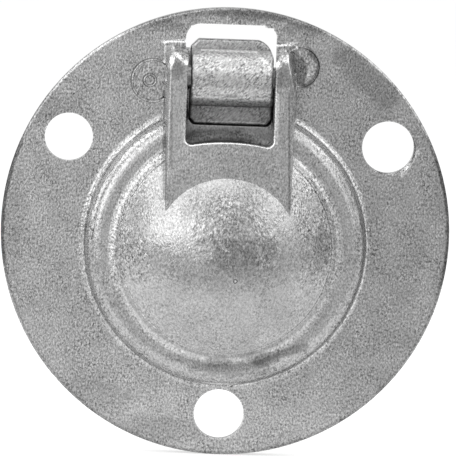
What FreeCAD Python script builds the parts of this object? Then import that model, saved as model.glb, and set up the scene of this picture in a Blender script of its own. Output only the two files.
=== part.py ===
import FreeCAD, Part
import math
import os

# Round flush pull ring for a deck hatch or locker lid, in three pieces:
# a cast plate with a finger cup and a hinge housing behind it, a cast ring
# whose knuckle sits in the housing, and a pin pressed into the housing.
#
# Frame, in millimetres: the plate stands upright as it would on a door, with
# the hinge at the top (+Z). The face that a hand meets looks to -Y. The back,
# with the cup and the housing, looks to +Y. The origin is the centre of the
# plate on its back face, the one that lies on the deck or door.

# Plate
plate_diameter = 57.15
plate_thickness = 2.5
plate_back_round = 0.3
plate_front_round = 0.6

# Screws: three countersunk holes, two above and one below
screw_edge_distance = 5.225
screw_spread = 60.4
screw_hole_radii = {"left": 3.05, "right": 3.31, "below": 3.18}
countersink_diameter = 9.0
countersink_angle = 90.0
torn_edge_shift = 0.36
torn_edge_turn = 48.0
torn_edge_rise = 0.3

# Finger cup: a recess for the ring with a dome behind it
cup_drop = 1.55
cup_screw_land = 0.75
cup_wall = 2.11
wall_draft = 4.0
recess_draft = 12.0
recess_corner_round = 0.4
recess_mouth_round = 0.3
ledge_depth = 2.2
ledge_width = 3.2
ledge_wall = 1.8
wall_foot_fillet = 0.9
shoulder_round = 1.9
annulus_width = 3.41
dome_height = 9.28
dome_foot_fillet = 1.9
dome_crease_radius = 13.5
dome_crease_depth = 0.08
dome_crease_tool = 0.16
cup_mouth_round = 0.5
dome_wall = 1.86

# Hinge
hinge_depth = 2.6
pin_diameter = 3.0
pin_clearance = 0.05
pin_insets = {"left": 0.25, "right": 1.05}
pin_chamfer = 0.25

# Hinge housing: two cheeks joined by a bridge that runs into the dome
housing_depth = 7.3
window_half_width = 5.5
window_shift = 0.12
cheek_thickness = 2.4
housing_draft = 3.9
housing_edge_round = 0.25
window_sill_drop = 7.75
window_sill_radius = 26.0
window_corner_round = 0.7
window_edge_round = 0.25
bridge_root_rise = 3.15
nose_centre_rise = 1.2
nose_reach = 2.35
nose_arc_radius = 3.0
nose_arc_rise = 2.47

# Facet ground down the outside of the right cheek
facet_start_drop = 1.32
facet_lean = 13.5
facet_draft = 8.0

# Low pad round the foot of the housing
pad_height = 0.4
pad_sides = {"left": 8.75, "right": 8.45}
pad_top_rise = 4.45
pad_corner_round = 0.5
pad_edge_round = 0.35

# Slot in the plate for the knuckle, wider where the tab swings through
slot_rim_land = 2.105
slot_top_gap = 1.94
slot_draft = 2.0
slot_side_gap = 0.05
slot_relief_rises = {"left": 3.5, "right": 1.3}
slot_corner_rounds = {"left": 1.9, "right": 1.15}
slot_top_step = 0.3
slot_top_step_width = 1.2
neck_window_drop = 5.9
neck_window_round = 0.9

# Pull ring
ring_side_gap = 0.8
ring_setback = 0.2
ring_seat_gap = 0.1
ring_width = 3.5
ring_section_round = 1.3
knuckle_radius = 3.63
knuckle_front_half_width = 5.23
knuckle_draft = 0.6
tab_reach = 4.73
tab_back_depth = 0.0
tab_chamfer = 1.0
tab_round_width = 1.85
tab_round_height = 2.8
neck_back_depth = 1.9
neck_step_drop = 5.7
neck_step_depth = 3.7
neck_step_chamfer = 0.7
knuckle_edge_round = 0.3

# Round tool marks beside the cheeks, as seen from the back: a shallow flat
# inside a groove, and on the left the ring that the tool's point left
mark_groove_tool = 0.2
left_mark = {"out": 9.9, "rise": -0.74, "radius": 2.65, "depth": 0.08}
left_mark_point = {"out": 10.3, "radius": 0.72}
right_mark = {"out": -8.66, "rise": 1.53, "radius": 2.35, "depth": 0.25}

# Flaws of the casting: places are across and up from the plate's centre
nub = {"across": -16.0, "up": 6.65, "radius": 0.4}
rim_nicks = [
    {"across": 28.25, "up": -5.35, "radius": 0.5},
    {"across": 21.1, "up": -19.3, "radius": 0.6},
]
dome_pore = {"across": -1.2, "up": -5.25, "radius": 0.3}


def draft_at(depth, angle, reference):
    """How far a drafted wall has moved out from its width at a reference depth."""
    return (reference - depth) * math.tan(math.radians(angle))


# Derived places: the screws and the slot are set in from the rim, the cup
# fills the room inside the screws, and the hinge hangs from the slot
plate_radius = plate_diameter / 2
front_face = -plate_thickness
screw_circle_radius = plate_radius - screw_edge_distance
cup_height = -cup_drop
annulus_depth = ledge_depth + ledge_wall
lower_screw_edge = screw_circle_radius - screw_hole_radii["below"]
wall_foot_radius = lower_screw_edge - cup_screw_land - cup_drop
wall_top_radius = wall_foot_radius + draft_at(annulus_depth, wall_draft, 0)
wall_ledge_radius = wall_foot_radius + draft_at(ledge_depth, wall_draft, 0)
recess_radius = wall_ledge_radius - cup_wall
cup_mouth_radius = recess_radius - ledge_width
dome_edge_radius = wall_top_radius - annulus_width
cheek_outer = window_half_width + cheek_thickness
ring_front = front_face + ring_setback
ring_back = ledge_depth - ring_seat_gap
ring_outer_radius = recess_radius - ring_side_gap
ring_inner_radius = ring_outer_radius - ring_width
ring_mid_radius = (ring_outer_radius + ring_inner_radius) / 2
slot_half_width = knuckle_front_half_width + slot_side_gap
window_left = window_shift + window_half_width
window_right = window_shift - window_half_width
slot_top_height = plate_radius - slot_rim_land
tab_top_height = slot_top_height - slot_top_gap
hinge_height = tab_top_height - tab_reach
window_sill_height = hinge_height - window_sill_drop
neck_window_height = hinge_height - neck_window_drop
slot_step_height = slot_top_height - slot_top_step
nose_centre_height = hinge_height + nose_centre_rise
nose_arc_depth = housing_depth - nose_arc_rise
pad_top_height = hinge_height + pad_top_rise
bridge_root_height = cup_height + bridge_root_rise
pin_radius = pin_diameter / 2
cut_margin = 2.0

depth_axis = FreeCAD.Vector(0, 1, 0)
cross_axis = FreeCAD.Vector(1, 0, 0)


def point(x, depth, z):
    return FreeCAD.Vector(x, depth, z)


def spun(segments, height=cup_height, out=0.0):
    """Turn a closed (radius, depth) outline about an axis along Y."""
    edges = []
    for segment in segments:
        corners = [point(out + r, depth, height) for r, depth in segment]
        if len(corners) == 3:
            edges.append(Part.Arc(*corners).toShape())
        else:
            edges.append(Part.makeLine(*corners))
    outline = Part.Face(Part.Wire(edges))
    return outline.revolve(point(out, 0, height), depth_axis, 360)


def spun_polygon(corners, height=cup_height, out=0.0):
    closed = corners + corners[:1]
    return spun(list(zip(closed[:-1], closed[1:])), height, out)


def prism(wire_at, start, end):
    """A solid along Y between the outlines that wire_at gives at two depths."""
    return Part.makeLoft([wire_at(start), wire_at(end)], True, True)


def disc(radius, start, end, x=0.0, z=0.0):
    return Part.makeCylinder(radius, end - start, point(x, start, z), depth_axis)


def edges_where(shape, test):
    return [edge for edge in shape.Edges if test(edge)]


def lies_at_depth(edge, depth):
    box = edge.BoundBox
    return abs(box.YMin - depth) < 0.01 and abs(box.YMax - depth) < 0.01


def is_circle(edge, radius, depth):
    """Whether an edge is a whole circle of this radius at this depth."""
    return lies_at_depth(edge, depth) and abs(edge.BoundBox.XLength - 2 * radius) < 0.01


def flange():
    body = disc(plate_radius, front_face, 0)
    body = body.makeFillet(
        plate_back_round, edges_where(body, lambda edge: is_circle(edge, plate_radius, 0))
    )
    return body.makeFillet(
        plate_front_round,
        edges_where(body, lambda edge: is_circle(edge, plate_radius, front_face)),
    )


def sphere_centre(edge_radius, edge_depth, apex_depth):
    """Depth of the centre of the sphere through an edge circle and an apex."""
    rise = apex_depth - edge_depth
    radius = (edge_radius**2 + rise**2) / (2 * rise)
    return apex_depth - radius


def cap_segments(edge_radius, edge_depth, apex_depth, floor_depth):
    """Outline of a dome cap that stands on a straight skirt."""
    centre = sphere_centre(edge_radius, edge_depth, apex_depth)
    radius = apex_depth - centre
    half_turn = math.asin(edge_radius / radius) / 2
    midway = (radius * math.sin(half_turn), centre + radius * math.cos(half_turn))
    return [
        ((0, floor_depth), (edge_radius, floor_depth)),
        ((edge_radius, floor_depth), (edge_radius, edge_depth)),
        ((edge_radius, edge_depth), midway, (0, apex_depth)),
        ((0, apex_depth), (0, floor_depth)),
    ]


def dome_depth_at(radius):
    """Depth of the dome's surface at a radius inside its foot."""
    centre = sphere_centre(dome_edge_radius, annulus_depth, dome_height)
    return centre + math.sqrt((dome_height - centre) ** 2 - radius**2)


def groove(radius, tool_radius, depth, place=(0.0, cup_height)):
    """A ring that cuts a round groove about an axis along Y."""
    across, up = place
    return Part.makeTorus(radius, tool_radius, point(across, depth, up), depth_axis)


def cup_outside():
    """The recess wall with its rounded shoulder, and the dome on its annulus."""
    wall = spun_polygon(
        [
            (0, 0),
            (wall_foot_radius, 0),
            (wall_top_radius, annulus_depth),
            (0, annulus_depth),
        ]
    )
    dome = spun(cap_segments(dome_edge_radius, annulus_depth, dome_height, 0))
    cup = wall.fuse(dome).removeSplitter()
    cup = cup.makeFillet(
        shoulder_round,
        edges_where(cup, lambda edge: is_circle(edge, wall_top_radius, annulus_depth)),
    )
    cup = cup.makeFillet(
        dome_foot_fillet,
        edges_where(cup, lambda edge: is_circle(edge, dome_edge_radius, annulus_depth)),
    )
    surface = dome_depth_at(dome_crease_radius)
    tool_depth = surface + dome_crease_tool - dome_crease_depth
    return cup.cut(groove(dome_crease_radius, dome_crease_tool, tool_depth))


def recess_radius_at(depth):
    """The recess opens toward the front, so that the ring's shoulders swing clear."""
    return recess_radius + draft_at(depth, recess_draft, ledge_depth)


def cup_inside():
    """The ring's recess with its ledge, and the finger space in the dome."""
    outside = front_face - cut_margin
    recess = spun_polygon(
        [
            (0, outside),
            (recess_radius_at(outside), outside),
            (recess_radius, ledge_depth),
            (0, ledge_depth),
        ]
    )
    recess = recess.makeFillet(
        recess_corner_round,
        edges_where(recess, lambda edge: is_circle(edge, recess_radius, ledge_depth)),
    )
    fingers = spun(
        cap_segments(cup_mouth_radius, ledge_depth, dome_height - dome_wall, front_face)
    )
    hollow = recess.fuse(fingers)
    return hollow.makeFillet(
        cup_mouth_round,
        edges_where(hollow, lambda edge: is_circle(edge, cup_mouth_radius, ledge_depth)),
    )


def polygon(corners, depth):
    places = [point(x, depth, z) for x, z in corners]
    return Part.makePolygon(places + places[:1])


def rectangle(left, right, bottom, top, depth):
    corners = [(left, bottom), (right, bottom), (right, top), (left, top)]
    return polygon(corners, depth)


def housing_block():
    """Drafted block of the cheeks and bridge, from the cup's foot to the nose."""

    def outline(depth):
        half_width = cheek_outer + draft_at(depth, housing_draft, housing_depth)
        top = nose_centre_height + nose_reach
        return rectangle(half_width, -half_width, bridge_root_height, top, depth)

    block = prism(outline, 0, housing_depth)

    def runs_down_the_flat(edge):
        box = edge.BoundBox
        return lies_at_depth(edge, housing_depth) and box.ZLength > box.XLength

    return block.makeFillet(housing_edge_round, edges_where(block, runs_down_the_flat))


def nose_form(side):
    """Rounded end of one cheek: an ogive about an axis along Y."""
    middle = window_half_width + cheek_thickness / 2
    arc_centre = nose_reach - nose_arc_radius

    def radius_at(depth):
        rise = depth - nose_arc_depth
        return arc_centre + math.sqrt(nose_arc_radius**2 - rise**2)

    halfway = (nose_arc_depth + housing_depth) / 2
    form = spun(
        [
            ((0, 0), (nose_reach, 0)),
            ((nose_reach, 0), (nose_reach, nose_arc_depth)),
            (
                (nose_reach, nose_arc_depth),
                (radius_at(halfway), halfway),
                (radius_at(housing_depth), housing_depth),
            ),
            ((radius_at(housing_depth), housing_depth), (0, housing_depth)),
            ((0, housing_depth), (0, 0)),
        ],
        height=nose_centre_height,
        out=side * middle,
    )
    return form


def cheek_facet():
    """What the grinding took off the right cheek, from its flat down to the pad."""
    start = hinge_height - facet_start_drop
    top = slot_top_height

    def outline(depth):
        low = -cheek_outer - draft_at(depth, facet_draft, housing_depth)
        high = low + (top - start) * math.tan(math.radians(facet_lean))
        outside = -plate_radius
        return polygon([(low, start), (high, top), (outside, top), (outside, start)], depth)

    return prism(outline, pad_height, housing_depth + cut_margin)


def housing():
    """The block with its upper end shaped into two noses."""
    block = housing_block()
    width = 2 * (cheek_outer + cut_margin)
    above = Part.makeBox(
        width,
        housing_depth + cut_margin,
        nose_reach + cut_margin,
        point(-width / 2, 0, nose_centre_height),
    )
    noses = nose_form(1).fuse(nose_form(-1))
    return block.cut(above.cut(noses)).cut(cheek_facet())


def housing_pad():
    """Low pad that the housing's foot stands on."""
    pad = Part.makeBox(
        pad_sides["left"] + pad_sides["right"],
        pad_height,
        pad_top_height - cup_height,
        point(-pad_sides["right"], 0, cup_height),
    )

    def upper_corner(edge):
        box = edge.BoundBox
        return box.YLength > pad_height / 2 and box.ZMin > pad_top_height - 0.01

    pad = pad.makeFillet(pad_corner_round, edges_where(pad, upper_corner))

    def back_rim(edge):
        return lies_at_depth(edge, pad_height) and edge.BoundBox.ZMax > cup_height + 0.01

    return pad.makeFillet(pad_edge_round, edges_where(pad, back_rim))


def window_outline(depth):
    """The housing's opening, with its arched sill."""
    drop = window_sill_radius - math.sqrt(window_sill_radius**2 - window_half_width**2)
    foot = window_sill_height - drop
    upper = [
        point(window_left, depth, foot),
        point(window_left, depth, slot_top_height),
        point(window_right, depth, slot_top_height),
        point(window_right, depth, foot),
    ]
    edges = [Part.makeLine(a, b) for a, b in zip(upper[:-1], upper[1:])]
    crown = point(window_shift, depth, window_sill_height)
    edges.append(Part.Arc(upper[-1], crown, upper[0]).toShape())
    return Part.Wire(edges)


def window():
    """Opening in the housing, which leaves the cup's outside as its floor."""
    end = housing_depth + cut_margin
    opening = prism(window_outline, -cut_margin, end)

    def sill_corner(edge):
        box = edge.BoundBox
        return box.YLength > end and box.ZMax < window_sill_height

    return opening.makeFillet(window_corner_round, edges_where(opening, sill_corner))


def slot_relief():
    """The wider top of the slot, with one stepped corner."""
    start = front_face - cut_margin
    end = housing_depth + cut_margin

    def outline(depth):
        draft = draft_at(depth, slot_draft, housing_depth)
        left, right = window_left + draft, window_right - draft
        step = window_right + slot_top_step_width
        corners = [
            point(right, depth, hinge_height + slot_relief_rises["right"]),
            point(right, depth, slot_step_height),
            point(step, depth, slot_step_height),
            point(step, depth, slot_top_height),
            point(left, depth, slot_top_height),
            point(left, depth, hinge_height + slot_relief_rises["left"]),
            point(0, depth, hinge_height + slot_relief_rises["left"]),
            point(0, depth, hinge_height + slot_relief_rises["right"]),
        ]
        return Part.makePolygon(corners + corners[:1])

    relief = prism(outline, start, end)
    tops = {"left": slot_top_height, "right": slot_step_height}
    for side, radius in slot_corner_rounds.items():

        def corner(edge):
            box = edge.BoundBox
            outer = box.XMin > slot_half_width if side == "left" else box.XMax < -slot_half_width
            return outer and box.ZLength < 0.01 and abs(box.ZMin - tops[side]) < 0.01

        relief = relief.makeFillet(radius, edges_where(relief, corner))
    return relief


def slot_part(bottom, start, end):
    """A stretch of the slot at the knuckle's width, between two depths."""
    width = 2 * slot_half_width
    return Part.makeBox(
        width, end - start, slot_step_height - bottom, point(-width / 2, start, bottom)
    )


def knuckle_slot():
    """Everything cut from plate and cup to let the knuckle in and swing."""
    start = front_face - cut_margin
    neck_way = slot_part(window_sill_height, start, ledge_depth)
    end = housing_depth
    through = slot_part(neck_window_height, start, end)

    def lower_corner(edge):
        box = edge.BoundBox
        return box.YLength > end - start - 0.01 and box.ZMax < neck_window_height + 0.01

    through = through.makeFillet(neck_window_round, edges_where(through, lower_corner))
    return neck_way.multiFuse([through, slot_relief()])


def screw_places():
    turns = {"left": screw_spread, "right": -screw_spread, "below": 180}
    places = {}
    for name, turn in turns.items():
        angle = math.radians(turn)
        x = screw_circle_radius * math.sin(angle)
        places[name] = (x, screw_circle_radius * math.cos(angle))
    return places


def screw_holes():
    """Through holes with a countersink in the front face."""
    cuts = []
    half_angle = math.radians(countersink_angle / 2)
    for name, (x, z) in screw_places().items():
        radius = screw_hole_radii[name]
        cuts.append(disc(radius, front_face - cut_margin, cut_margin, x, z))
        sink_radius = countersink_diameter / 2
        sink_depth = (sink_radius - radius) / math.tan(half_angle)
        cone = Part.makeCone(
            sink_radius, radius, sink_depth, point(x, front_face, z), depth_axis
        )
        cuts.append(cone)
    return Part.makeCompound(cuts)


def torn_edge():
    """Bevel where the right hole's edge broke away on the back, off the hole's centre."""
    x, z = screw_places()["right"]
    angle = math.radians(torn_edge_turn)
    radius = screw_hole_radii["right"]
    centre = point(
        x - torn_edge_shift * math.cos(angle),
        -torn_edge_rise,
        z - torn_edge_shift * math.sin(angle),
    )
    return Part.makeCone(
        radius - torn_edge_rise, radius + torn_edge_rise, 2 * torn_edge_rise, centre, depth_axis
    )


def tool_marks():
    """Round marks that a tool left on plate and pad beside the cheeks."""
    cuts = []
    for mark in (left_mark, right_mark):
        place = (mark["out"], hinge_height + mark["rise"])
        cuts.append(disc(mark["radius"], -mark["depth"], pad_height, *place))
        cuts.append(groove(mark["radius"], mark_groove_tool, 0, place))
    place = (left_mark_point["out"], hinge_height + left_mark["rise"])
    cuts.append(groove(left_mark_point["radius"], mark_groove_tool, -left_mark["depth"], place))
    return cuts


def flaws():
    """Small pits and nicks that the casting shows."""
    cuts = [
        Part.makeSphere(nick["radius"], point(nick["across"], 0, nick["up"]))
        for nick in rim_nicks
    ]
    across, up = dome_pore["across"], dome_pore["up"]
    surface = dome_depth_at(math.hypot(across, up - cup_height))
    cuts.append(Part.makeSphere(dome_pore["radius"], point(across, surface, up)))
    return cuts


def hinge_bar(radius, right_end, left_end):
    """A bar along the hinge axis between two places on it."""
    start = point(right_end, hinge_depth, hinge_height)
    return Part.makeCylinder(radius, left_end - right_end, start, cross_axis)


def hinge_bore(radius):
    return hinge_bar(radius, -plate_radius, plate_radius)


def is_window_edge(edge):
    """Edges of the housing's window on its flat."""
    box = edge.BoundBox
    inside = box.XMin > window_right - 0.01 and box.XMax < window_left + 0.01
    return lies_at_depth(edge, housing_depth) and inside


def is_mouth_edge(edge):
    """Edges of the recess and the slot on the front face."""
    box = edge.BoundBox
    reach = recess_radius_at(front_face) + 0.01
    beside_cup = box.XMin > -reach and box.XMax < reach and box.ZMin > cup_height - reach
    return lies_at_depth(edge, front_face) and beside_cup


def cupped_flange():
    """Flange and cup in one, with the rounded foot of the wall."""
    body = flange().fuse(cup_outside()).removeSplitter()
    return body.makeFillet(
        wall_foot_fillet,
        edges_where(body, lambda edge: is_circle(edge, wall_foot_radius, 0)),
    )


def cup_plate():
    body = cupped_flange().fuse(housing_pad())
    lump = Part.makeSphere(nub["radius"], point(nub["across"], 0, nub["up"]))
    body = body.cut(tool_marks()).fuse(lump)
    body = body.fuse(housing().cut(window())).removeSplitter()
    body = body.cut(cup_inside())
    body = body.cut(knuckle_slot())
    body = body.cut(screw_holes())
    body = body.cut(torn_edge())
    body = body.cut(hinge_bore(pin_radius))
    body = body.makeFillet(window_edge_round, edges_where(body, is_window_edge))
    body = body.makeFillet(recess_mouth_round, edges_where(body, is_mouth_edge))
    return body.cut(flaws())


def ring_section():
    """Rounded section of the ring as arcs and lines."""
    inner, outer = ring_inner_radius, ring_outer_radius
    front, back, r = ring_front, ring_back, ring_section_round
    diagonal = r * (1 - math.sqrt(0.5))
    return [
        ((inner + r, front), (outer - r, front)),
        ((outer - r, front), (outer - diagonal, front + diagonal), (outer, front + r)),
        ((outer, front + r), (outer, back - r)),
        ((outer, back - r), (outer - diagonal, back - diagonal), (outer - r, back)),
        ((outer - r, back), (inner + r, back)),
        ((inner + r, back), (inner + diagonal, back - diagonal), (inner, back - r)),
        ((inner, back - r), (inner, front + r)),
        ((inner, front + r), (inner + diagonal, front + diagonal), (inner + r, front)),
    ]


def knuckle_outline(depth):
    """Outline of neck and tab: one upper corner chamfered, the other rounded."""
    half_width = knuckle_front_half_width - draft_at(depth, -knuckle_draft, ring_front)
    top = tab_top_height
    bottom = cup_height
    round_start = half_width - tab_round_width
    diagonal = 1 - math.sqrt(0.5)
    corners = [
        point(-half_width, depth, bottom),
        point(half_width, depth, bottom),
        point(half_width, depth, top - tab_chamfer),
        point(half_width - tab_chamfer, depth, top),
        point(-round_start, depth, top),
    ]
    edges = [Part.makeLine(a, b) for a, b in zip(corners[:-1], corners[1:])]
    edges.append(
        Part.Arc(
            point(-round_start, depth, top),
            point(
                -half_width + diagonal * tab_round_width,
                depth,
                top - diagonal * tab_round_height,
            ),
            point(-half_width, depth, top - tab_round_height),
        ).toShape()
    )
    edges.append(
        Part.makeLine(point(-half_width, depth, top - tab_round_height), corners[0])
    )
    return Part.Wire(edges)


def neck_step():
    """Thicker part of the neck below the barrel, with its lower corners cut off."""
    low = hinge_height - neck_step_drop
    inner = knuckle_front_half_width - neck_step_chamfer
    outer = knuckle_front_half_width + cut_margin
    corner_top = low + outer - inner

    def outline(depth):
        half = [(inner, low), (outer, corner_top), (outer, hinge_height)]
        return polygon(half + [(-x, z) for x, z in reversed(half)], depth)

    return prism(outline, ring_front, neck_step_depth)


def knuckle_side_form():
    """The knuckle as seen from the side: tab, neck with its thicker root, and barrel."""
    width = 2 * (knuckle_front_half_width + cut_margin)
    left = -width / 2
    tab = Part.makeBox(
        width,
        tab_back_depth - ring_front,
        tab_reach,
        point(left, ring_front, hinge_height),
    )
    neck = Part.makeBox(
        width,
        neck_back_depth - ring_front,
        hinge_height - cup_height,
        point(left, ring_front, cup_height),
    )
    barrel = hinge_bar(knuckle_radius, left, -left)
    return tab.multiFuse([neck, neck_step(), barrel]).removeSplitter()


def knuckle():
    """Neck, tab and barrel with drafted sides and broken edges."""
    outer_form = prism(knuckle_outline, ring_front, hinge_depth + knuckle_radius)
    body = knuckle_side_form().common(outer_form)

    def above_root(edge):
        return edge.BoundBox.ZMax > cup_height + 0.01

    return body.makeFillet(knuckle_edge_round, edges_where(body, above_root))


def pull_ring():
    """Ring, neck and knuckle cast in one, with a running bore for the pin."""
    ring = spun(ring_section())
    inside = disc(ring_mid_radius, ring_front - cut_margin, housing_depth, z=cup_height)
    body = ring.fuse(knuckle().cut(inside)).removeSplitter()
    return body.cut(hinge_bore(pin_radius + pin_clearance))


def hinge_pin():
    half_width = cheek_outer + draft_at(hinge_depth, housing_draft, housing_depth)
    pin = hinge_bar(
        pin_radius, pin_insets["right"] - half_width, half_width - pin_insets["left"]
    )
    rims = edges_where(pin, lambda edge: edge.BoundBox.XLength < 0.01)
    return pin.makeChamfer(pin_chamfer, rims)


pieces = {
    "cup_plate": cup_plate(),
    "pull_ring": pull_ring(),
    "hinge_pin": hinge_pin(),
}

os.makedirs("parts", exist_ok=True)
for name, shape in pieces.items():
    shape.exportStep("parts/" + name + ".step")
    print(name, len(shape.Solids), "solid", shape.isValid(), round(shape.Volume, 1), "mm3")
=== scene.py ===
"""Looks of a round flush pull ring, seen from the back as it was photographed.

Blender units are metres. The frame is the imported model's own: the plate
stands upright with the hinge at the top (+Z), the hand's side looks to -Y and
the back, with the cup and the hinge housing, looks to +Y. The finishes are
laid out in millimetres of that frame: across is X, which grows to the image's
left, depth is Y and up is Z.
"""

import math
from functools import cached_property

import bpy
from mathutils import Matrix, Vector


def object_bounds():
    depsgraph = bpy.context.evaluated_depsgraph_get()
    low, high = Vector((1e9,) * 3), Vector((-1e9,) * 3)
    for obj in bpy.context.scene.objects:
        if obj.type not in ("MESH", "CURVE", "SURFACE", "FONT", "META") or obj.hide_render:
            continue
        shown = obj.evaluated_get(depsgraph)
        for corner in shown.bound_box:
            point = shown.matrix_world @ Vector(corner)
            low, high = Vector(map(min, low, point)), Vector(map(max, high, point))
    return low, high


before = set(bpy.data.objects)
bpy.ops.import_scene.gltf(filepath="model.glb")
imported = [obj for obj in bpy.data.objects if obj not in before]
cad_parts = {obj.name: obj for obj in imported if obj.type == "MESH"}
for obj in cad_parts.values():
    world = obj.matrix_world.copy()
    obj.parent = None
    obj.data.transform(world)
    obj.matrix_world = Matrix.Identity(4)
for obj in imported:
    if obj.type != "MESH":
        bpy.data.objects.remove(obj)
cad_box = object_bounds()

MM = 0.001

# Camera, as the photograph was taken, with its angles in degrees
CAMERA_DISTANCE = 600 * MM
CAMERA_ELEVATION = 5.74
CAMERA_SIDE = 1.7
CAMERA_ROLL = 2.1
CAMERA_NEAR = 0.05
CAMERA_FAR = 20
IMAGE_WIDTH = 456
PIXELS_PER_METRE = 7857.0
ORIGIN_PIXEL = (225.34, 232.30)
SENSOR_WIDTH = 36.0

# Tone and roughness of the castings
CAST_COLOUR = 0.42
COLOUR_SWING = 0.03
CAST_ROUGHNESS = 0.26
RING_ROUGHNESS = 0.42
ROUGHNESS_SWING = 0.05

# Grain of the castings: height in mm, shares of the tone, and strength in places
GRAIN_HEIGHT = 0.045
WRINKLES_TO_GRAIN = 1.6
GRAIN_TONE = 0.65
MOTTLE_TONE = 0.3
PIT_SHARE = 0.5
FLECK_SHARE = 0.5
COARSE_GAIN = 0.6
CALM_SHARE = 0.4
FRONT_GRAIN = 0.35
BACK_GRAIN = ("depth", -2.2, -0.8, FRONT_GRAIN, 1.0)
PLATE_STRETCH = 1.2
RING_STRETCH = 1.9
RING_LEAN = -45.0
RING_COARSE = 0.25
RING_CALM = 0.3

# Painted highlight along edges, partly wear, and painted shade in crevices and in the pocket: how
# far it reaches in mm, and what it does to tone and roughness
OCCLUSION_SAMPLES = 6
EDGE_REACH = 0.4
EDGE_WEAR_AND_HIGHLIGHT_TONE = 1.9
EDGE_FADE = (0.25, 0.75)
CREVICE_SHADE_REACH = 1.2
CREVICE_SHADE_SHARE = 0.2
CREVICE_SHADE_FADE = (0.1, 0.9)
PAINTED_SHADE_SHARE = 0.45
PAINTED_SHADE_ROUGHNESS = 0.15

# Noises: steps per mm, detail, roughness, distortion
NOISES = {
    "grain": (4.0, 1.5, 0.6, 0.0),
    "wrinkles": (1.9, 2.0, 0.5, 0.6),
    "patches": (0.5, 2.0, 0.5, 0.0),
    "pits": (2.1, 3.0, 0.7, 0.0),
    "flecks": (2.9, 2.0, 0.7, 0.4),
    "clusters": (0.2, 2.0, 0.5, 0.0),
    "swell": (0.35, 2.0, 0.5, 0.0),
    "waver": (0.9, 3.0, 0.5, 0.0),
    "drift": (0.12, 2.0, 0.5, 0.0),
    "turning": (1.0, 2.0, 0.5, 0.0),
    "dulling": (1.2, 2.0, 0.5, 0.0),
}

# How the noises are read: how far they stray from a half, or where a fade starts and ends
SPREAD = 0.2
GRAIN_SPREAD = 0.25
PATCH_SPREAD = 0.15
PATCH_GRAIN = (0.975, 0.225)
PIT_FADE = (0.33, 0.27)
FLECK_FADE = (0.5, 0.36)
CLUSTER_FADE = (0.42, 0.56, 0.25, 1.0)

# Turned pin: rings per mm along each axis, tone, roughness, and the rings' height in mm
PIN_RINGS = (12.0, 0.4, 0.4)
PIN_TONE = 0.34
PIN_TONE_SWING = 0.06
PIN_ROUGHNESS = 0.35
PIN_ROUGHNESS_SWING = -0.07
PIN_RING_HEIGHT = 0.01

# Places on the plate
CUP_HEIGHT = -1.55
RIGHT_MARK_CENTRE = (-8.66, 21.33)
RIGHT_MARK_RADIUS = 2.35
RIGHT_MARK_WAVER = 0.9
RIM_WAVER = 0.5
DRIFT_SPAN = 20.0

# Where a mark fades out and where it is full, in parts of its half width
PATCH_EDGE = (1.1, 0.55)
STROKE_EDGE = (1.2, 0.6)
CUP_RING_EDGE = (1.3, 0.6)

# Zones of the plate as fades: what each is measured along, where it is 0 and where it is 1
MARKED_BACK = (("depth", -1.2, -0.6), ("facing", -0.3, 0.1))
# The pocket between the cheeks is darkened as painted shade, and DEEP_POCKET darkens its lower part
# further
POCKET = (("side", 6.2, 5.4), ("up", 17.5, 16.0), ("up", 10.8, 11.8), ("depth", 6.8, 5.2))
DEEP_POCKET = ("across", -5.5, -2.0, 0.5, 1.0)
HOUSING_FLAT = ("depth", 6.9, 7.2)
BELOW_HOUSING = ("depth", 5.2, 4.8)
LOWER_DOME = (("cup radius", 15.0, 14.0), ("up", -5.0, -8.0))
ANNULUS = (("cup radius", 14.6, 15.0, 0.0, 0.7), ("cup radius", 17.0, 16.6))
UPPER_DOME = ("depth", 4.5, 5.0)
DOME = ("depth", 3.0, 4.0)
WRINKLED_DOME = (("cup radius", 14.5, 12.5), ("up", -7.0, -2.0, 0.0, 0.25), DOME)
OUTWARD = ("facing", -0.3, 0.1)

# Ovals on the plate: across, up, half width, half height, raggedness
# Where the pocket's painted shade is darkest
POCKET_OVAL = (1.5, 12.4, 6.0, 1.3, 0.6)
LEFT_DOME_OVAL = (9.0, 3.5, 5.5, 6.5, 1.2)
CRACKLED_OVAL = (-1.2, 0.2, 7.0, 5.0, 1.2)

# Marks take a share of the tone; a negative share makes the metal brighter.
# Zones of the plate with a changed tone, some as painted shade or painted highlight: share, fades
TONED_ZONES = {
    "darker rim, most on the sides": (
        0.7,
        ("ragged radius", 28.0, 28.3),
        ("up", 15.0, 9.0),
        ("up", -9.0, -3.0, 0.4, 1.0),
    ),
    "outline of the right mark": (
        0.55,
        ("mark edge", 0.45, 0.15),
        ("across", -9.3, -10.0),
        ("depth", -1.2, -0.6),
    ),
    # Painted shade: the plate darker towards the image's right, away from the light
    "painted shade towards the image's right": (0.13, ("drift", 15.0, -12.0)),
    "rim above the slot": (0.3, ("radius", 27.4, 28.0), ("up", 24.8, 26.2)),
    # Painted highlight along the sill's edge
    "painted highlight on the sill's edge": (
        -0.9,
        ("side", 5.9, 5.5),
        ("up", 13.2, 12.8),
        ("up", 10.8, 11.2),
        ("depth", 6.85, 7.0),
        ("depth", 7.295, 7.27),
    ),
    # Painted highlight on the cheeks' outer sides
    "painted highlight on the cheeks' outer sides": (
        -0.8,
        ("side", 7.2, 7.5),
        ("side", 10.0, 9.5),
        ("up", 19.0, 17.0),
        ("up", 15.5, 16.8),
        ("depth", 1.0, 2.0),
        ("depth", 7.2, 6.9),
    ),
}
# Painted shade, darkest in the pocket
DEEP_POCKET_SHADE_SHARE = 0.6
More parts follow.
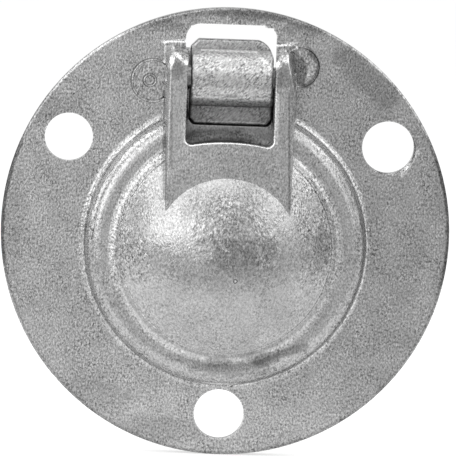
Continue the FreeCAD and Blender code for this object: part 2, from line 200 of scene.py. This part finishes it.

# Stain marks and painted light on the plate: across, up, half width, half height, raggedness, share
PLATE_STAINS_AND_PAINTED_LIGHT = (
    (5.0, -15.8, 2.6, 0.7, 1.2, 0.15),
    (0.6, -16.1, 2.2, 0.9, 1.2, 0.3),
    (-4.8, -15.6, 3.0, 1.1, 1.2, 0.28),
    # Darker where the dome faces the camera: partly coarser grain, partly a painted dark reflection
    (-1.3, -2.4, 3.6, 2.6, 1.2, 0.3),
    (8.0, 26.0, 2.8, 0.9, 1.2, 0.25),
    (-10.0, 26.1, 2.2, 1.1, 1.2, 0.25),
    (-2.9, 27.8, 6.5, 0.9, 1.2, 0.35),
    (-7.5, 26.2, 1.2, 1.0, 1.2, 0.25),
    (-12.2, -0.9, 1.4, 3.6, 1.2, 0.3),
    # Painted dark reflection on the dome, either side of its middle
    (2.5, -0.5, 2.2, 0.9, 1.2, 0.25),
    (-5.3, -1.4, 1.2, 1.6, 1.2, 0.25),
    (7.0, 21.0, 1.0, 1.4, 0.8, 0.35),
    (-5.7, 20.4, 0.7, 1.7, 0.8, 0.3),
    # Painted highlight on the right cheek's nose
    (-6.6, 23.0, 0.7, 0.9, 0.6, -0.4),
    (-6.6, 20.4, 1.0, 1.6, 0.8, 0.25),
    # Painted shade on the steep face beside the right cheek, with its tail below
    (-8.9, 20.9, 0.95, 2.6, 0.8, 0.45),
    (-9.5, 19.0, 0.6, 0.35, 0.8, 0.6),
    (-10.6, 21.0, 0.8, 1.8, 0.8, -0.2),
    (-8.0, 22.6, 0.7, 1.0, 0.8, 0.35),
    # Painted shade that dims the dome's highlight on the left
    (6.8, 3.4, 3.5, 2.5, 1.2, 0.1),
    (0.0, -9.0, 10.0, 6.5, 0.6, 0.08),
    (-1.5, -16.9, 7.0, 1.3, 1.2, 0.28),
    (16.8, -21.4, 6.5, 2.8, 1.2, 0.2),
    (8.0, -25.6, 7.0, 2.0, 1.2, 0.2),
    (27.4, 1.5, 2.4, 7.0, 1.6, 0.14),
    (23.0, 15.2, 5.0, 2.2, 1.2, 0.22),
    (-25.8, -9.0, 1.8, 6.0, 1.2, -0.14),
    (-11.5, 25.9, 4.0, 0.7, 1.2, -0.15),
    (-4.1, -0.4, 1.1, 0.9, 0.8, 0.22),
    # Painted lighter reflection low on the dome
    (-1.4, -4.7, 1.4, 1.3, 1.2, -0.18),
    (-18.3, -9.5, 1.6, 5.5, 1.2, -0.1),
    # Painted highlight on the ridge round the dome, on the left and on the right
    (14.2, -5.0, 1.0, 3.6, 1.0, -0.14),
    (-14.3, -4.3, 0.9, 3.4, 1.0, -0.14),
)

# Narrow marks on the plate, many of them painted highlights along edges: across and up of both ends,
# half width, share
PLATE_LINES_AND_HIGHLIGHTS = (
    # Painted highlights along the noses' facets and the window's edges
    (7.45, 23.2, 7.9, 21.2, 0.3, -1.0),
    (7.2, 22.95, 5.9, 21.8, 0.24, -0.8),
    (-6.2, 23.4, -5.55, 21.9, 0.22, -0.7),
    (-6.8, 23.3, -7.35, 21.0, 0.18, -0.9),
    (-5.75, 18.3, -5.75, 12.2, 0.24, -0.5),
    (5.75, 14.5, 5.75, 12.0, 0.2, -0.4),
    # Painted highlight along the right cheek's outline
    (-8.6, 23.2, -9.55, 22.1, 0.18, -0.45),
    (-9.55, 22.1, -9.85, 20.4, 0.18, -0.45),
    (-9.85, 20.4, -9.5, 19.3, 0.18, -0.45),
    # A bright line on the flange towards the image's right
    (-22.2, 8.1, -24.1, 11.1, 0.35, -0.7),
    # Painted highlight along the pad's top edge
    (-5.7, 24.0, -8.2, 24.4, 0.17, -0.8),
    (8.8, 24.0, 5.9, 24.3, 0.2, -0.7),
    (8.35, 17.5, 7.95, 4.8, 0.32, 0.4),
    (7.6, 18.9, 7.3, 9.0, 0.18, 0.25),
    (-7.5, 20.0, -7.9, 15.0, 0.4, 0.25),
    (-7.15, 18.5, -7.74, 3.9, 0.14, 0.4),
    (-4.5, -15.7, -10.4, -13.9, 0.6, 0.35),
    (-14.4, 22.6, -19.9, 18.0, 1.7, 0.28),
)

# Painted highlights in narrow bands on the back of the ring's knuckle, listed the same way
RING_PAINTED_HIGHLIGHTS = (
    (3.9, 23.4, -3.0, 23.35, 0.18, -0.9),
    (-3.0, 23.35, -4.7, 21.5, 0.2, -0.3),
    (4.6, 21.7, -4.6, 21.6, 0.95, -0.3),
    (4.8, 18.3, -4.8, 18.3, 0.6, -0.3),
    (5.0, 17.1, -5.0, 17.1, 0.6, -1.4),
    (5.2, 14.2, -5.2, 14.2, 0.26, -0.8),
)

# Painted highlights and painted shade in rings round the cup: radius, half width, share on the
# image's left and on its right
CUP_LIGHT_AND_SHADE_RINGS = (
    (13.8, 0.2, 0.15, 0.2),
    (14.5, 0.42, -0.25, -0.15),
    (15.9, 0.5, 0.03, -0.12),
    (17.05, 0.3, 0.1, 0.0),
    (17.6, 0.3, -0.25, 0.0),
    (18.06, 0.15, -0.2, -0.65),
)

# How far either side of the middle a cup ring goes from one share to the other
CUP_RING_TURN = 6.0

# Zones of the ring, as fades
# The ring's neck is darkened as painted shade; RING_BACK bounds the knuckle's painted highlights
RING_NECK = (("up", 16.5, 16.1), ("depth", 0.5, 1.5))
RING_BACK = ("depth", 2.2, 3.0)

# Studio: a strength of 1 is white, lengths are in metres, and the edge is a ray's Y
ROOM_LEVEL = 0.76
BACKDROP_LEVEL = 0.8
BACKDROP_EDGE = (0.2, -0.2)
FLOOR_REACH = 3.0
FLOOR_FRONT = 0.045
FLOOR_COLOUR = (0.5, 0.5, 0.5, 1)
FLOOR_GLOW = 0.61
WHITE = (1, 1, 1, 1)

# Softboxes: angle off the plate's axis, turn from image right to top, watts fitted to the photograph
LAMP_DISTANCE = 0.45
LAMP_SIZE = 0.2
LAMPS = {
    "side_upper_left": (90, 135, 0.37),
    "side_left": (90, 165, 0.28),
    "side_upper_right": (90, 45, 0.23),
    "overhead": (90, 90, 0.22),
    "left": (45, 165, 0.22),
    "top": (45, 95, 0.19),
    "upper_right": (45, 45, 0.13),
    "upper_left": (45, 135, 0.13),
    "high_left": (65, 135, 0.12),
    "high_right": (65, 45, 0.11),
    "right": (45, 20, 0.085),
    "side_right": (90, 15, 0.067),
    "behind_right": (120, 45, 0.064),
    "behind_top": (120, 90, 0.054),
    "near_left": (18, 165, 0.056),
    "low_left": (30, 165, 0.056),
}


def towards_camera():
    """Unit vector from the plate to the camera, which looks at the back."""
    elevation = math.radians(CAMERA_ELEVATION)
    side = math.radians(CAMERA_SIDE)
    return Vector(
        (
            math.sin(side) * math.cos(elevation),
            math.cos(side) * math.cos(elevation),
            math.sin(elevation),
        )
    )


def make_camera():
    data = bpy.data.cameras.new("camera")
    data.sensor_width = SENSOR_WIDTH
    data.lens = PIXELS_PER_METRE * CAMERA_DISTANCE / IMAGE_WIDTH * SENSOR_WIDTH
    data.shift_x = 0.5 - ORIGIN_PIXEL[0] / IMAGE_WIDTH
    data.shift_y = ORIGIN_PIXEL[1] / IMAGE_WIDTH - 0.5
    data.clip_start = CAMERA_NEAR
    data.clip_end = CAMERA_FAR
    camera = bpy.data.objects.new("camera", data)
    bpy.context.scene.collection.objects.link(camera)
    backward = towards_camera()
    right = Vector((0, 0, 1)).cross(backward).normalized()
    up = backward.cross(right)
    turn = Matrix.Rotation(math.radians(CAMERA_ROLL), 3, backward)
    axes = Matrix((turn @ right, turn @ up, backward)).transposed()
    camera.matrix_world = Matrix.Translation(backward * CAMERA_DISTANCE) @ axes.to_4x4()
    bpy.context.scene.camera = camera


class Nodes:
    """Short forms for building a node tree."""

    SCALARS = ("LENGTH", "DISTANCE", "DOT_PRODUCT")

    def __init__(self, tree):
        self.tree = tree
        tree.nodes.clear()

    def add(self, kind, **settings):
        node = self.tree.nodes.new("ShaderNode" + kind)
        for name, value in settings.items():
            setattr(node, name, value)
        return node

    def feed(self, value, socket):
        if isinstance(value, bpy.types.NodeSocket):
            self.tree.links.new(value, socket)
        else:
            socket.default_value = value

    def feed_all(self, node, values):
        """The node, with the values fed to its inputs in order."""
        for value, socket in zip(values, node.inputs):
            self.feed(value, socket)
        return node

    def math(self, operation, *values):
        return self.feed_all(self.add("Math", operation=operation), values).outputs[0]

    def vector(self, operation, *values):
        node = self.feed_all(self.add("VectorMath", operation=operation), values)
        return node.outputs["Value" if operation in self.SCALARS else "Vector"]

    def axes(self, vector):
        """The vector's three parts."""
        return self.feed_all(self.add("SeparateXYZ"), (vector,)).outputs

    def remap(self, value, from_low, from_high, to_low=0.0, to_high=1.0, curve="LINEAR"):
        """The value, carried from one range to another and kept inside it."""
        node = self.add("MapRange", interpolation_type=curve, clamp=True)
        self.feed_all(node, (value, from_low, from_high, to_low, to_high))
        return node.outputs["Result"]

    def smooth(self, *limits):
        """The same, with soft ends."""
        return self.remap(*limits, curve="SMOOTHSTEP")

    def product(self, first, *others):
        """For masks, where all of them hold."""
        for other in others:
            first = self.math("MULTIPLY", first, other)
        return first

    def union(self, first, *others):
        """For masks, where any of them holds."""
        for other in others:
            first = self.math("MAXIMUM", first, other)
        return first


class Surface(Nodes):
    """A metal material under construction, measured in millimetres of the frame."""

    def __init__(self, name):
        self.material = bpy.data.materials.new(name)
        self.material.use_nodes = True
        super().__init__(self.material.node_tree)
        self.shader = self.add("BsdfPrincipled")
        self.feed(1.0, self.shader.inputs["Metallic"])
        self.feed(self.shader.outputs["BSDF"], self.add("OutputMaterial").inputs["Surface"])
        self.coordinates = self.add("TexCoord").outputs
        self.place = self.vector("MULTIPLY", self.coordinates["Object"], (1 / MM,) * 3)

    @cached_property
    def flat(self):
        """The place without its depth."""
        return self.vector("MULTIPLY", self.place, (1, 0, 1))

    @cached_property
    def along(self):
        """What fades are measured along."""
        across, depth, up = self.axes(self.place)
        return {"across": across, "depth": depth, "up": up}

    @cached_property
    def waver(self):
        """The noise that makes the outlines of marks ragged."""
        return self.noise("waver")

    def noise(self, name, place=None):
        node = self.add("TexNoise")
        self.feed(self.place if place is None else place, node.inputs["Vector"])
        for socket, value in zip(("Scale", "Detail", "Roughness", "Distortion"), NOISES[name]):
            self.feed(value, node.inputs[socket])
        return node.outputs["Fac"]

    def around(self, noise, middle, swing, spread=SPREAD):
        """The noise as a value that swings about a middle."""
        return self.remap(noise, 0.5 - spread, 0.5 + spread, middle - swing, middle + swing)

    def ragged(self, value, amount):
        """The value, shifted to and fro by up to half the amount."""
        return self.math(
            "ADD", value, self.math("MULTIPLY_ADD", self.waver, amount, -amount / 2)
        )

    def radius_about(self, across, up):
        """Distance from an axis along Y."""
        return self.vector("DISTANCE", self.flat, (across, 0, up))

    def patch(self, across, up, half_width, half_height, raggedness):
        """A ragged oval: 1 in its middle, 0 outside."""
        offset = self.vector("SUBTRACT", self.flat, (across, 0, up))
        offset = self.vector("DIVIDE", offset, (half_width, 1, half_height))
        return self.smooth(self.ragged(self.vector("LENGTH", offset), raggedness), *PATCH_EDGE)

    def stroke(self, across, up, across_end, up_end, half_width):
        """A line between two points: 1 along its middle, 0 outside."""
        run = Vector((across_end - across, 0, up_end - up))
        direction = run.normalized()
        offset = self.vector("SUBTRACT", self.flat, (across, 0, up))
        reached = self.vector("DOT_PRODUCT", offset, direction)
        reached = self.math("MINIMUM", self.math("MAXIMUM", reached, 0.0), run.length)
        nearest = self.vector("MULTIPLY", reached, direction)
        gap = self.ragged(self.vector("DISTANCE", offset, nearest), half_width)
        return self.smooth(gap, *[half_width * edge for edge in STROKE_EDGE])

    def cup_ring(self, radius, half_width):
        """A ring about the cup's axis: 1 along its middle, 0 outside."""
        gap = self.math("SUBTRACT", self.along["cup radius"], radius)
        gap = self.math("ABSOLUTE", gap)
        return self.smooth(gap, *[half_width * edge for edge in CUP_RING_EDGE])

    def fade(self, name, *limits):
        """A mask along a measure: 0 at the first limit and 1 at the second.

        Two more limits, where given, are the levels it has there instead.
        """
        return self.smooth(self.along[name], *limits)

    def zone(self, *fades):
        """Where all the fades hold."""
        return self.product(*[self.fade(*fade) for fade in fades])

    def gain(self, mask, share):
        """A factor that is 1 + share where the mask is 1."""
        return self.math("MULTIPLY_ADD", mask, share, 1.0)

    def closed_in(self, distance, inside=False):
        """How closed in the surface is; seen from inside, how near it is to an edge."""
        node = self.add(
            "AmbientOcclusion", samples=OCCLUSION_SAMPLES, inside=inside, only_local=True
        )
        self.feed(distance * MM, node.inputs["Distance"])
        return self.math("SUBTRACT", 1.0, node.outputs["AO"])

    def finish(self, tone, roughness, height, bump_distance):
        colour = self.feed_all(self.add("CombineColor"), (tone, tone, tone))
        self.feed(colour.outputs[0], self.shader.inputs["Base Color"])
        self.feed(roughness, self.shader.inputs["Roughness"])
        bump = self.add("Bump")
        self.feed(1.0, bump.inputs["Strength"])
        self.feed(bump_distance * MM, bump.inputs["Distance"])
        self.feed(height, bump.inputs["Height"])
        self.feed(bump.outputs["Normal"], self.shader.inputs["Normal"])
        return self.material


def cast_finish(surface, coarse, calm, stains_and_painted_light, painted_shade, dullness, stretch, lean=0.0):
    """As-cast metal: grain all over, painted shade in crevices, and brighter along its edges from
    wear and a painted highlight.

    Coarse and calm are masks that strengthen and weaken the grain, which is
    stretched along up and then leans over by an angle in degrees. Stain and
    painted-light masks come with their shares, and the painted shade mask adds roughness.
    The hand's side is finer, because it was tumbled smooth.
    """
    stretched = surface.add("Mapping", vector_type="TEXTURE")
    surface.feed(surface.place, stretched.inputs["Vector"])
    surface.feed((0, math.radians(lean), 0), stretched.inputs["Rotation"])
    surface.feed((1 / stretch, 1.0, stretch), stretched.inputs["Scale"])
    grain = surface.noise("grain", stretched.outputs[0])
    wrinkles = surface.noise("wrinkles")
    back = surface.fade(*BACK_GRAIN)
    strength = surface.product(
        back,
        surface.around(surface.noise("patches"), *PATCH_GRAIN, spread=PATCH_SPREAD),
        surface.gain(coarse, COARSE_GAIN),
        surface.gain(calm, -CALM_SHARE),
    )
    pits = surface.product(surface.smooth(surface.noise("pits"), *PIT_FADE), back)
    flecks = surface.product(
        surface.smooth(surface.noise("flecks"), *FLECK_FADE),
        back,
        surface.smooth(surface.noise("clusters"), *CLUSTER_FADE),
        strength,
    )
    # Brighter along edges: partly wear, partly a painted highlight
    edges = surface.closed_in(EDGE_REACH, inside=True)
    # Painted shade in crevices, from how closed in the surface is
    crevice_shade = surface.smooth(surface.closed_in(CREVICE_SHADE_REACH), *CREVICE_SHADE_FADE)

    tone = surface.product(
        surface.around(surface.noise("swell"), CAST_COLOUR, COLOUR_SWING),
        surface.gain(surface.around(grain, 0.0, GRAIN_TONE, spread=GRAIN_SPREAD), strength),
        surface.gain(pits, -PIT_SHARE),
        surface.gain(surface.around(wrinkles, 0.0, MOTTLE_TONE), coarse),
        surface.gain(flecks, -FLECK_SHARE),
        *[surface.gain(mask, -share) for mask, share in stains_and_painted_light],
        # Painted shade in the pocket and in crevices, and a painted highlight with wear along edges
        surface.gain(painted_shade, -PAINTED_SHADE_SHARE),
        surface.gain(crevice_shade, -CREVICE_SHADE_SHARE),
        surface.smooth(edges, *EDGE_FADE, 1.0, EDGE_WEAR_AND_HIGHLIGHT_TONE),
    )
    roughness = surface.around(grain, dullness, ROUGHNESS_SWING)
    roughness = surface.math("MULTIPLY_ADD", painted_shade, PAINTED_SHADE_ROUGHNESS, roughness)
    height = surface.math("MULTIPLY", wrinkles, coarse)
    height = surface.math("MULTIPLY_ADD", height, WRINKLES_TO_GRAIN, grain)
    height = surface.math("MULTIPLY", height, strength)
    return surface.finish(tone, roughness, height, GRAIN_HEIGHT)


def measure_plate(surface):
    """What the plate's fades are measured along, apart from across, depth and up."""
    across = surface.along["across"]
    radius = surface.radius_about(0, 0)
    mark_radius = surface.ragged(surface.radius_about(*RIGHT_MARK_CENTRE), RIGHT_MARK_WAVER)
    past_mark = surface.math("SUBTRACT", mark_radius, RIGHT_MARK_RADIUS)
    surface.along |= {
        "side": surface.math("ABSOLUTE", across),
        "facing": surface.axes(surface.coordinates["Normal"])["Y"],
        "radius": radius,
        "ragged radius": surface.ragged(radius, RIM_WAVER),
        "cup radius": surface.radius_about(0, CUP_HEIGHT),
        "mark edge": surface.math("ABSOLUTE", past_mark),
        "drift": surface.math("MULTIPLY_ADD", surface.noise("drift"), DRIFT_SPAN, across),
    }


def plate_stains_and_painted_light(surface, pocket):
    """All that changes the plate's tone in one place, as masks with their shares."""
    marks = [(surface.patch(*oval), share) for *oval, share in PLATE_STAINS_AND_PAINTED_LIGHT]
    marks += [(surface.stroke(*line), share) for *line, share in PLATE_LINES_AND_HIGHLIGHTS]
    back = surface.zone(*MARKED_BACK)
    stains_and_painted_light = [(surface.product(mark, back), share) for mark, share in marks]
    below_housing = surface.fade(*BELOW_HOUSING)
    across = surface.along["across"]
    # Painted highlight and painted shade in rings round the cup, different on the left and the right
    for radius, half_width, left_share, right_share in CUP_LIGHT_AND_SHADE_RINGS:
        share = surface.remap(across, -CUP_RING_TURN, CUP_RING_TURN, right_share, left_share)
        ring = surface.cup_ring(radius, half_width)
        stains_and_painted_light.append((surface.product(ring, share, below_housing), 1.0))
    stains_and_painted_light += [(surface.zone(*fades), share) for share, *fades in TONED_ZONES.values()]
    # Painted shade, darkest in the pocket
    deep = surface.product(pocket, surface.patch(*POCKET_OVAL), surface.fade(*DEEP_POCKET))
    stains_and_painted_light.append((deep, DEEP_POCKET_SHADE_SHARE))
    return stains_and_painted_light


def cast_plate():
    surface = Surface("cast_plate")
    measure_plate(surface)
    pocket = surface.zone(*POCKET)
    calm = surface.union(
        surface.fade(*HOUSING_FLAT),
        surface.zone(*LOWER_DOME),
        surface.product(surface.patch(*LEFT_DOME_OVAL), surface.fade(*UPPER_DOME)),
        surface.zone(*ANNULUS),
    )
    crackled = surface.product(surface.patch(*CRACKLED_OVAL), surface.fade(*DOME))
    coarse = surface.union(surface.zone(*WRINKLED_DOME), crackled)
    coarse = surface.product(coarse, surface.fade(*OUTWARD))
    stains_and_painted_light = plate_stains_and_painted_light(surface, pocket)
    return cast_finish(surface, coarse, calm, stains_and_painted_light, pocket, CAST_ROUGHNESS, PLATE_STRETCH)


def cast_ring():
    surface = Surface("cast_ring")
    back = surface.fade(*RING_BACK)
    # Painted highlights on the knuckle's back
    painted_highlights = [
        (surface.product(surface.stroke(*line), back), share) for *line, share in RING_PAINTED_HIGHLIGHTS
    ]
    return cast_finish(
        surface,
        coarse=RING_COARSE,
        calm=RING_CALM,
        stains_and_painted_light=painted_highlights,
        # Painted shade on the ring's neck
        painted_shade=surface.zone(*RING_NECK),
        dullness=RING_ROUGHNESS,
        stretch=RING_STRETCH,
        lean=RING_LEAN,
    )


def turned_pin():
    """Drawn and turned bar: fine rings about the hinge line."""
    surface = Surface("turned_pin")
    rings = surface.noise("turning", surface.vector("MULTIPLY", surface.place, PIN_RINGS))
    dulling = surface.noise("dulling")
    tone = surface.math(
        "ADD",
        surface.around(rings, 0.0, PIN_TONE_SWING),
        surface.around(dulling, PIN_TONE, PIN_TONE_SWING),
    )
    roughness = surface.around(dulling, PIN_ROUGHNESS, PIN_ROUGHNESS_SWING)
    return surface.finish(tone, roughness, rings, PIN_RING_HEIGHT)


def dress(node, material):
    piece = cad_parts[node]
    for slot in piece.material_slots:
        slot.material = material
    if not piece.material_slots:
        piece.data.materials.append(material)


def make_world():
    """White to the camera; other rays meet a light grey room."""
    world = bpy.data.worlds.new("studio")
    world.use_nodes = True
    bpy.context.scene.world = world
    nodes = Nodes(world.node_tree)
    towards_back = nodes.axes(nodes.add("TexCoord").outputs["Generated"])["Y"]
    room = nodes.smooth(towards_back, *BACKDROP_EDGE, ROOM_LEVEL, BACKDROP_LEVEL)
    seen = nodes.add("LightPath").outputs["Is Camera Ray"]
    light = nodes.add("Background")
    nodes.feed(WHITE, light.inputs["Color"])
    nodes.feed(nodes.union(room, seen), light.inputs["Strength"])
    nodes.feed(light.outputs[0], nodes.add("OutputWorld").inputs["Surface"])
    world.cycles.sampling_method = "NONE"


def make_floor():
    """A sheet of paper under the plate, which keeps its shadow and looks white.

    It ends a little in front of the plate.
    """
    mesh = bpy.data.meshes.new("floor")
    outline = [
        (-FLOOR_REACH, -FLOOR_REACH),
        (FLOOR_REACH, -FLOOR_REACH),
        (FLOOR_REACH, FLOOR_FRONT),
        (-FLOOR_REACH, FLOOR_FRONT),
    ]
    mesh.from_pydata([(*corner, cad_box[0].z) for corner in outline], [], [(0, 1, 2, 3)])
    floor = bpy.data.objects.new("floor", mesh)
    bpy.context.scene.collection.objects.link(floor)
    material = bpy.data.materials.new("floor")
    material.use_nodes = True
    nodes = Nodes(material.node_tree)
    paper = nodes.add("BsdfDiffuse")
    nodes.feed(FLOOR_COLOUR, paper.inputs["Color"])
    path = nodes.add("LightPath").outputs
    seen = nodes.union(
        path["Is Camera Ray"], path["Is Glossy Ray"], path["Is Transmission Ray"]
    )
    glow = nodes.add("Emission")
    nodes.feed(nodes.math("MULTIPLY", seen, FLOOR_GLOW), glow.inputs["Strength"])
    both = nodes.feed_all(nodes.add("AddShader"), (paper.outputs[0], glow.outputs[0]))
    nodes.feed(both.outputs[0], nodes.add("OutputMaterial").inputs["Surface"])
    material.cycles.emission_sampling = "NONE"
    mesh.materials.append(material)


def softbox(name, tilt, turn, power):
    """A square lamp that looks at the plate's centre."""
    data = bpy.data.lights.new(name, "AREA")
    data.shape = "SQUARE"
    data.size = LAMP_SIZE
    data.energy = power
    lamp = bpy.data.objects.new(name, data)
    bpy.context.scene.collection.objects.link(lamp)
    tilt, turn = math.radians(tilt), math.radians(turn)
    direction = Vector(
        (-math.sin(tilt) * math.cos(turn), math.cos(tilt), math.sin(tilt) * math.sin(turn))
    )
    lamp.location = direction * LAMP_DISTANCE
    lamp.rotation_mode = "QUATERNION"
    lamp.rotation_quaternion = direction.to_track_quat("Z", "Y")
    lamp.visible_camera = False


bpy.context.scene.view_settings.view_transform = "Standard"
make_camera()
make_world()
make_floor()
for lamp_name, lamp_place in LAMPS.items():
    softbox(lamp_name, *lamp_place)

dress("cup_plate", cast_plate())
dress("pull_ring", cast_ring())
dress("hinge_pin", turned_pin())
